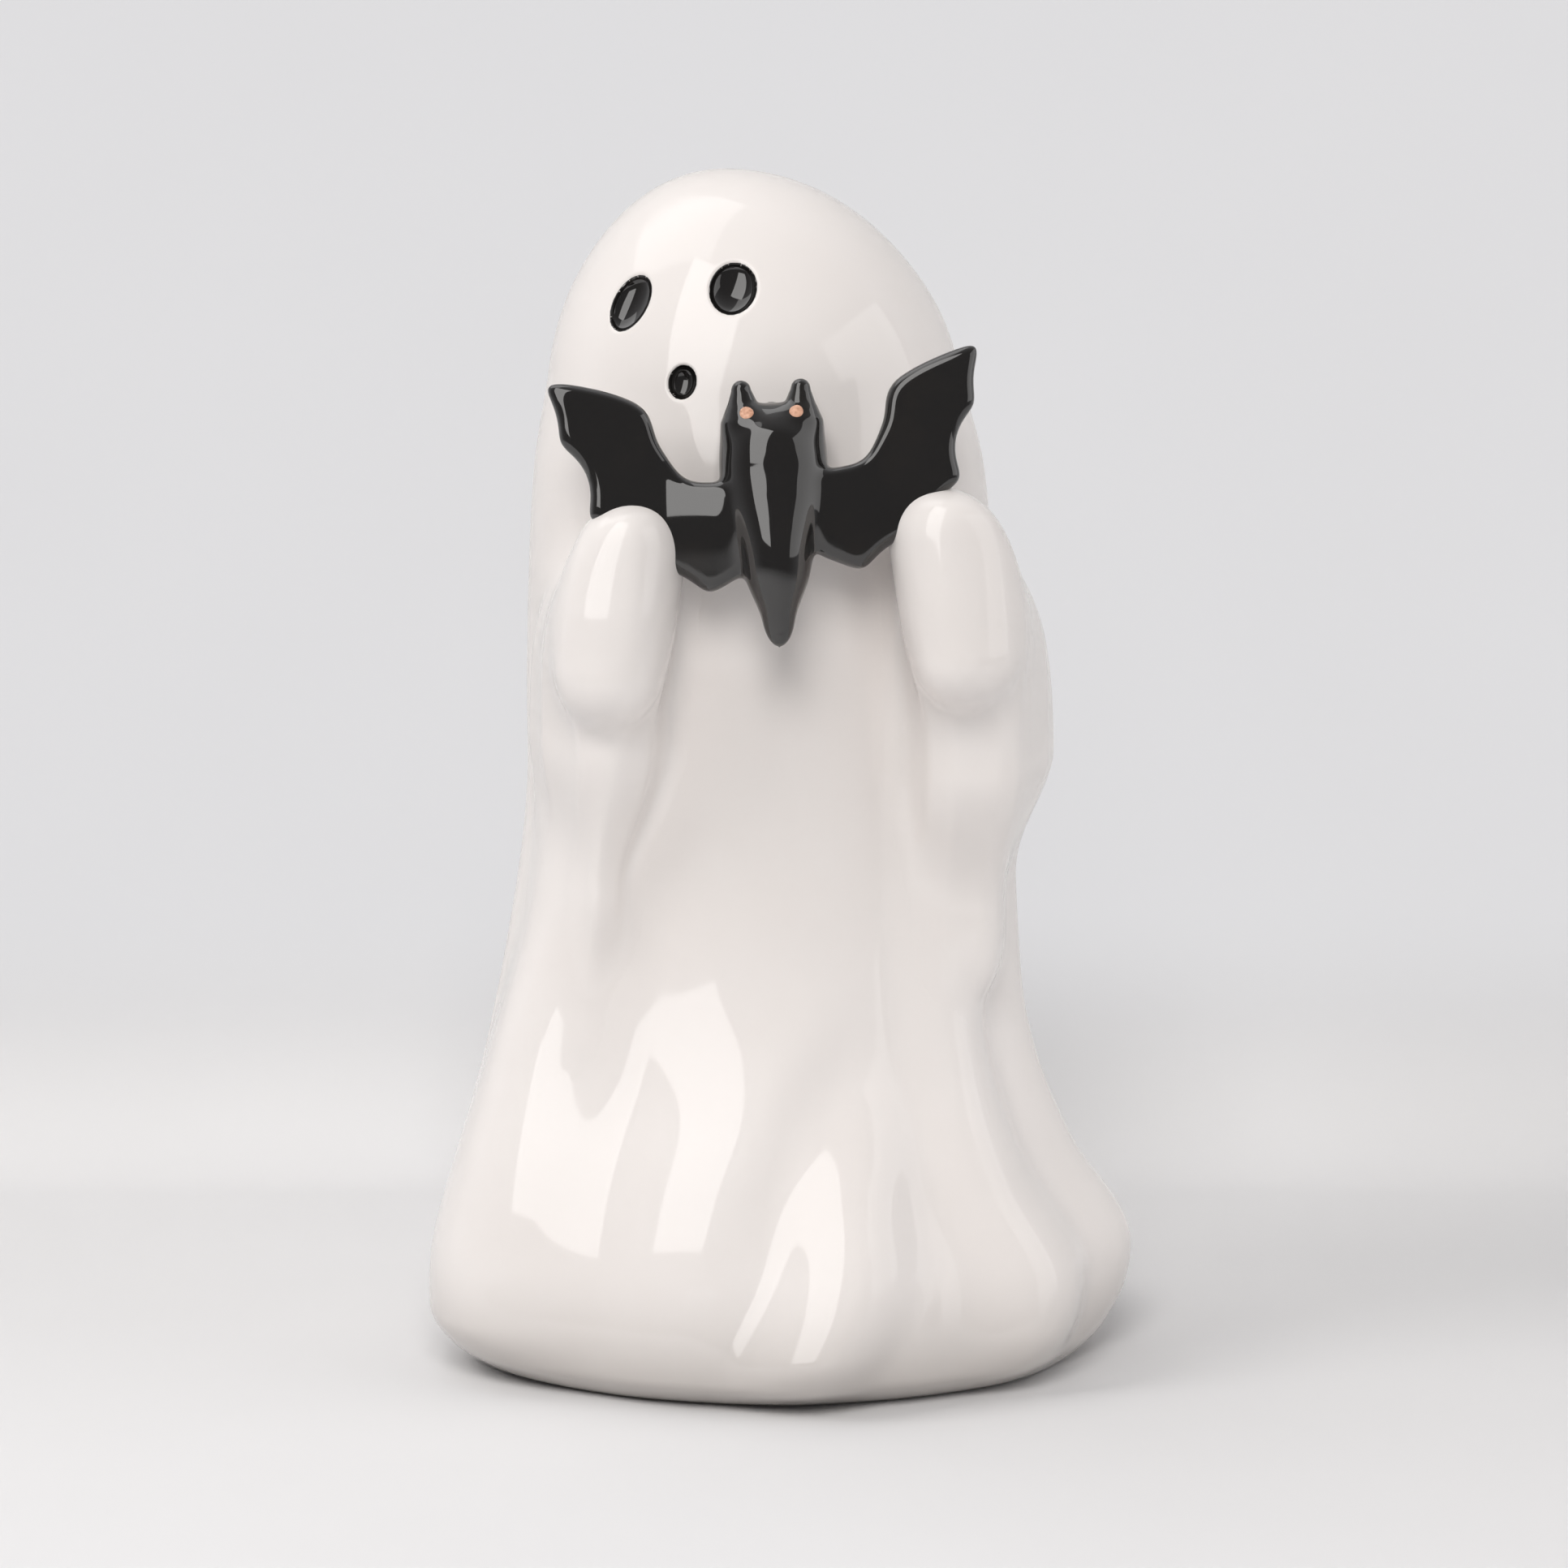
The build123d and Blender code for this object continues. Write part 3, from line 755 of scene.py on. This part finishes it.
def backing(points, loop):  # closes an arm just inside the sheet, within the loop
    edge = points[loop]
    grid, perDegree = armBack["grid"], armBack["perDegree"]
    middleX, middleY, width, depth, shrink = ovals(edge[:, 2])
    angle = np.degrees(np.arctan2((edge[:, 0] - middleX) / width, (middleY - edge[:, 1]) / depth))
    middle = angle.mean()
    flat = np.stack([(angle - middle) * perDegree, edge[:, 2]], -1)
    gridX = np.arange(flat[:, 0].min(), flat[:, 0].max(), grid)
    gridZ = np.arange(flat[:, 1].min(), flat[:, 1].max(), grid)
    inner = np.stack(np.meshgrid(gridX, gridZ, indexing="ij"), -1).reshape(-1, 2)
    gap = np.linalg.norm(inner[:, None] - flat[None, ::2], axis=-1).min(1)
    inner = inner[gap > armBack["clear"]]
    places = [Vector(p) for p in np.concatenate([flat, inner]).tolist()]
    count = len(loop)
    ring = [(i, (i + 1) % count) for i in range(count)]
    made, _, triangles, origin, _, _ = delaunay_2d_cdt(places, ring, [], 1, 1e-5)
    made = np.array([tuple(p) for p in made])
    sheetPoints = skin(made[:, 0] / perDegree + middle, made[:, 1], armBack["inset"])
    number, extra = [], []
    for i, sources in enumerate(origin):
        onEdge = [s for s in sources if s < count]
        if onEdge:
            number.append(int(loop[onEdge[0]]))
        else:
            number.append(len(points) + len(extra))
            extra.append(sheetPoints[i])
    faces = [[number[i] for i in triangle][::-1] for triangle in triangles]
    return np.array(extra), [f for f in faces if len(set(f)) == 3]


for name in arms:
    arm(name)


# Bat: body, ears and wings in its own plane, x across, y up from the eye line, z towards the viewer

bat = {
    "left": 2.0, "eyeLine": 165.1, "front": 42.5, "roll": 2.0, "lean": 8.0,
    "low": (-41, -42, -11.5), "high": (41, 10, 12.5), "step": 0.35,  # limits and cells of its field
    "across": [  # height and half width of the body
        (1.4, 0.0), (1.0, 4.0), (-0.8, 6.8), (-3.6, 8.3), (-9.0, 8.8), (-14.0, 8.4), (-18.0, 7.4),
        (-22.3, 6.2), (-27.3, 5.1), (-32.4, 3.1), (-35.4, 2.3), (-37.2, 1.4), (-38.2, 0.0),
    ],
    "through": [  # height and half depth, with a faint neck
        (1.4, 0.0), (1.0, 2.8), (-0.8, 5.4), (-3.6, 7.6), (-7.0, 8.5), (-10.0, 8.5), (-14.0, 8.9),
        (-19.0, 8.9), (-24.0, 8.0), (-30.0, 5.4), (-35.0, 2.6), (-37.2, 1.4), (-38.2, 0.0),
    ],
    "tailOut": 4.2, "tailFrom": -14.0, "tailBend": 1.5,  # the tail swings forward
    "earTip": (4.8, 3.4), "earRoot": (4.5, -1.5), "earRadius": (1.6, 3.5), "earFront": 1.6,
    "earBlend": 3.0, "wingBlend": 2.6,
    "wingHalf": 2.0, "wingEdge": 1.9, "tipRound": 1.2,  # half thickness, and the rounds of edge and tips
    "rootSlope": 17.0, "rootFrom": 8.0, "rootTo": 17.0,  # the wing slopes back beside the body
    "curlSlope": 14.0, "curlFrom": 19.0, "curlTo": 30.0,  # and its lower edge curls back to the chest
    "liftLeft": 2.0, "liftRight": 9.0, "rightRatio": 0.95,
}
wing = {  # outline, out from the body and up from the eye line
    "notch": (12.4, -11.6), "bend": (18.0, -5.9), "wrist": (21.8, 1.2), "tip": (37.8, 4.6),
    "point": (34.4, -5.6), "elbow": (29.9, -17.8), "finger": (21.2, -25.4), "lobe": (10.2, -30.0),
    "inner": 2.7,
    "hollows": (1.2, 2.6, 1.4, 1.4),  # depths of the scallops from the tip inwards
}


def curveThrough(stops, startWay, endWay, count=14):  # smooth line through points
    stops = np.array(stops, float)
    ways = np.empty_like(stops)
    ways[1:-1] = (stops[2:] - stops[:-2]) / 2
    ways[0] = np.array(startWay) * np.linalg.norm(stops[1] - stops[0])
    ways[-1] = np.array(endWay) * np.linalg.norm(stops[-1] - stops[-2])
    t = np.linspace(0, 1, count, endpoint=False)[:, None]
    return np.concatenate([glide(t, *run) for run in zip(stops, stops[1:], ways, ways[1:])])


def scallop(start, end, hollow, count=14):  # edge that bows in between two points
    start, end = np.array(start), np.array(end)
    along = end - start
    inward = np.array((along[1], -along[0])) / np.linalg.norm(along)
    t = np.linspace(0, 1, count, endpoint=False)[:, None]
    return start + along * t + inward * hollow * 4 * t * (1 - t)


def wingOutline():
    w = wing
    lead = curveThrough([w["notch"], w["bend"], w["wrist"], w["tip"]], (1, 0.1), (1, 0))
    corners = [w["tip"], w["point"], w["elbow"], w["finger"], w["lobe"]]
    trail = [scallop(a, b, h) for a, b, h in zip(corners, corners[1:], w["hollows"])]
    root = [w["lobe"], (w["inner"], w["finger"][1]), (w["inner"], w["notch"][1])]
    return np.concatenate([lead, *trail, np.array(root)])


def softRamp(value, low, high, soft=0.8):  # rises evenly between two limits
    return soft * (np.logaddexp(0, (value - low) / soft) - np.logaddexp(0, (value - high) / soft))


def wingField(x, y, z, side):
    lift, ratio = (bat["liftRight"], bat["rightRatio"]) if side > 0 else (bat["liftLeft"], 1.0)
    up, out = spin(y[:, :, 0], side * x[:, :, 0], lift)
    edge = soften(outlineField(wingOutline() * ratio, out, up), bat["tipRound"] / bat["step"])[:, :, None]
    span = bat["rootTo"] - bat["rootFrom"]
    drop = math.tan(math.radians(bat["rootSlope"])) * (span - softRamp(out, bat["rootFrom"], bat["rootTo"]))
    curl = math.tan(math.radians(bat["curlSlope"])) * softRamp(-up, bat["curlFrom"], bat["curlTo"], 1.5)
    middle = (drop - curl)[:, :, None]
    r = bat["wingEdge"]
    a, b = edge + r, np.abs(z - middle) - (bat["wingHalf"] - r)
    return np.hypot(np.maximum(a, 0), np.maximum(b, 0)) + np.minimum(np.maximum(a, b), 0) - r


def batTurn(ways):  # directions from the bat's own plane into the figure's frame: leant back, then rolled
    x, y, z = ways.T
    out, up = spin(z, y, bat["lean"])
    across, rise = spin(x, up, bat["roll"])
    return np.stack([across, -out, rise], -1)


def batPlace(points):
    return batTurn(points) + np.array((-bat["left"], -bat["front"], bat["eyeLine"]))


def batCasting():
    field = Field(bat["low"], bat["high"], bat["step"])
    x, y, z = field.x, field.y, field.z
    sizes = []
    for profile in ("across", "through"):
        line = curveThrough(bat[profile][::-1], (0.3, 1), (0.3, -1), 10)
        sizes.append(np.maximum(np.interp(y[0, :, 0], line[:, 0], line[:, 1]), 0.05)[None, :, None])
    across, through = sizes
    tail = np.maximum(bat["tailFrom"] - y, 0) / (bat["tailFrom"] - bat["across"][-1][0])
    front = z - bat["tailOut"] * tail ** bat["tailBend"]
    share, pull = np.hypot(x / across, front / through), np.hypot(x / across ** 2, front / through ** 2)
    torso = share * (share - 1) / np.maximum(pull, 1e-6)
    torso = np.where(pull < 1e-6, -np.minimum(across, through), torso)
    steep = np.sqrt(1 + np.clip(np.gradient(across[0, :, 0], bat["step"]), -1.5, 1.5) ** 2)
    torso = torso / steep[None, :, None]
    top, bottom = bat["across"][0][0], bat["across"][-1][0]
    shape = np.maximum(torso, np.maximum(y - top, bottom - y))
    for side in (-1, 1):
        (tipX, tipY), (rootX, rootY), out = bat["earTip"], bat["earRoot"], bat["earFront"]
        ear = limb((x, y, z), (side * tipX, tipY, out), (side * rootX, rootY, out), *bat["earRadius"])
        shape = smoothMin(shape, ear, bat["earBlend"])
    for side in (-1, 1):
        shape = smoothMin(shape, wingField(x, y, z, side), bat["wingBlend"])
    field.settle(shape)
    points, quads = field.mesh()
    normals = batTurn(field.normals(points))
    makePiece("batCasting", batPlace(points), quads.tolist(), black, "bat", normals)
    return field


batField = batCasting()
batEye = {"across": 4.0, "up": -0.3, "radius": 1.15, "proud": 0.22, "turns": 32, "rows": 15}


def batEyeDot(name, side, node):
    line = np.array([(side * batEye["across"], batEye["up"], z) for z in np.linspace(10, 0, 400)])
    first = np.argmax(batField.at(batField.values, line) < 0)  # where a look from in front meets the casting
    spot = batField.draw(line[first:first + 1])
    out = batField.normals(spot)[0]
    across = np.cross((0, 1, 0), out)
    across /= np.linalg.norm(across)
    up = np.cross(out, across)
    turns = np.linspace(0, 2 * math.pi, batEye["turns"], endpoint=False)
    rows = []
    for bend in np.linspace(0, math.pi, batEye["rows"])[1:-1]:  # over the front, round the edge and under
        r = batEye["radius"] * math.sin(bend)
        lift = batEye["proud"] * math.cos(bend)
        flat = spot[0] + r * (np.cos(turns)[:, None] * across + np.sin(turns)[:, None] * up)
        rows.append(batField.draw(flat) + lift * out)
    tips = [spot[0] + batEye["proud"] * out, spot[0] - batEye["proud"] * out]
    points = np.concatenate([np.concatenate(rows), tips])
    faces = [corners[::-1] for corners in shellFaces(len(rows), len(turns))]
    makePiece(name, batPlace(points), faces, enamel, node)


batEyeDot("batEyeLeft", -1, "bat_left_eye")
batEyeDot("batEyeRight", 1, "bat_right_eye")


# Studio: pale floor and wall in one sweep, softbox on the left, fill on the right

studio = {
    "floor": (0.79, 0.79, 0.798, 1),
    "wall": (0.76, 0.76, 0.764, 1),
    "mottle": 14.0, "mottleShare": 0.03,
    "wallAt": 0.142, "cove": 0.03, "coveRows": 16, "wallHigh": 0.55,
    "floorFront": -0.55, "halfWidth": 0.75,
    "fadeFrom": 0.36, "fadeTo": 0.54,
    "seenWall": (0.755, 0.75, 0.765, 1),  # the wall's own tone to the camera, its share and its heights
    "seenShare": 0.85, "seenFrom": 0.004, "seenTo": 0.05,
    "room": (0.75, 0.745, 0.76, 1),  # what the camera sees past the sweep
    "frontLight": 0.20, "roomLight": 0.62, "dimTo": -0.6, "fullFrom": 0.35,
}


def sweepFinish():
    f = Finish(bpy.data.materials.new("paleSweep"))
    place = f.place()
    x, y, z = (f.along(place, axis) for axis in "XYZ")
    tone = f.mix(f.span(z, 0.0, studio["cove"]), studio["floor"], studio["wall"])
    mottle = f.noise(place, studio["mottle"], 2) * studio["mottleShare"] + (1 - studio["mottleShare"])
    shade = f.node("ShaderNodeCombineColor", None, {0: mottle, 1: mottle, 2: mottle})
    paper = f.node("ShaderNodeBsdfDiffuse", None, {"Color": f.mix(1.0, tone, shade, "MULTIPLY")})
    wall = f.mix(1.0, studio["seenWall"], shade, "MULTIPLY")
    glow = f.node("ShaderNodeEmission", None, {"Color": wall})
    rise = f.span(z, studio["seenFrom"], studio["seenTo"], 0.0, studio["seenShare"])
    seen = f.node("ShaderNodeLightPath") * rise
    paper = f.node("ShaderNodeMixShader", None, {0: seen, 1: paper, 2: glow})
    clear = f.node("ShaderNodeBsdfTransparent")
    far = f.maths("SQRT", x * x + y * y + z * z)
    behind = f.node("ShaderNodeNewGeometry", output=6)  # the sweep can't be seen from its back
    gone = f.maths("MAXIMUM", behind, f.span(far, studio["fadeFrom"], studio["fadeTo"]))
    return f.close(f.node("ShaderNodeMixShader", None, {0: gone, 1: paper, 2: clear}))


def sweep():
    turns = np.linspace(0, math.pi / 2, studio["coveRows"])
    cove, wallAt = studio["cove"], studio["wallAt"]
    line = [(studio["floorFront"], 0.0)]
    line += [(wallAt - cove + cove * math.sin(t), cove - cove * math.cos(t)) for t in turns]
    line += [(wallAt, studio["wallHigh"])]
    half = studio["halfWidth"]
    points = [(x, y, z) for x in (-half, half) for y, z in line]
    count = len(line)
    faces = [(i, i + count, i + count + 1, i + 1) for i in range(count - 1)]
    smoothPiece("paleSweep", points, faces, sweepFinish())


def room():  # pale to the camera, dim in front of the figure where the photographer stands
    world = bpy.data.worlds.new("room")
    bpy.context.scene.world = world
    f = Finish(world)
    y = f.along(f.place(), "Y")
    seen = f.node("ShaderNodeLightPath")
    mirrored = f.node("ShaderNodeLightPath", output=3)
    light = f.span(y, studio["dimTo"], studio["fullFrom"], studio["frontLight"], studio["roomLight"])
    pale = f.maths("MAXIMUM", seen, mirrored * f.span(y, 0.0, studio["fullFrom"]))
    sockets = {"Color": studio["room"], "Strength": pale + (1 - pale) * light}
    f.close(f.node("ShaderNodeBackground", None, sockets), "ShaderNodeOutputWorld")


lamps = {
    "softbox": {
        "azimuth": -34, "elevation": 36, "far": 1.25, "size": (0.72, 1.62),
        "watts": 9.9, "tint": (1, 0.985, 0.97), "lights": "gloss",
    },
    "key": {
        "azimuth": -63, "elevation": 38, "far": 1.2, "size": (0.55, 0.55),
        "watts": 4.7, "tint": (1, 0.98, 0.96), "lights": "form",
    },
    "frontFill": {
        "azimuth": -4, "elevation": 34, "far": 1.4, "size": (0.5, 0.5),
        "watts": 9.2, "tint": (1, 0.975, 0.95), "lights": "form",
    },
    "fillCard": {
        "azimuth": 76, "elevation": 18, "far": 1.2, "size": (1.1, 1.1),
        "watts": 3.8, "tint": (1, 0.985, 0.975), "lights": "both",
    },
    "topCard": {
        "azimuth": -120, "elevation": 62, "far": 1.2, "size": (0.9, 0.9),
        "watts": 2.9, "tint": (1, 0.99, 0.98), "lights": "both",
    },
}
aim = Vector((0, 0, 0.1))


def around(azimuth, elevation, far):  # place seen from the figure, azimuth 0 in front and growing towards +X
    a, e = math.radians(azimuth), math.radians(elevation)
    return aim + far * Vector((math.sin(a) * math.cos(e), -math.cos(a) * math.cos(e), math.sin(e)))


def lamp(name):
    plan = lamps[name]
    light = bpy.data.lights.new(name, "AREA")
    light.shape = "RECTANGLE"
    light.size, light.size_y = plan["size"]
    light.energy, light.color = plan["watts"], plan["tint"]
    piece = bpy.data.objects.new(name, light)
    piece.location = around(plan["azimuth"], plan["elevation"], plan["far"])
    piece.rotation_euler = (piece.location - aim).to_track_quat("Z", "Y").to_euler()
    piece.visible_camera = False
    piece.visible_diffuse = plan["lights"] != "gloss"
    piece.visible_glossy = plan["lights"] != "form"
    bpy.context.scene.collection.objects.link(piece)


sweep()
room()
for name in lamps:
    lamp(name)
print("studio set")


# Camera

shot = {"target": (0.0, 0.0, 0.0964), "far": 1.3, "elevation": 10.0, "lens": 177.3, "sensor": 36.0}
camera = bpy.data.cameras.new("shot")
camera.lens, camera.sensor_width = shot["lens"], shot["sensor"]
cameraPiece = bpy.data.objects.new("shot", camera)
raised = math.radians(shot["elevation"])
back = Vector((0, -math.cos(raised), math.sin(raised)))
cameraPiece.location = Vector(shot["target"]) + back * shot["far"]
cameraPiece.rotation_euler = back.to_track_quat("Z", "Y").to_euler()
bpy.context.scene.collection.objects.link(cameraPiece)
bpy.context.scene.camera = cameraPiece
bpy.context.scene.view_settings.view_transform = "Standard"

print("done")
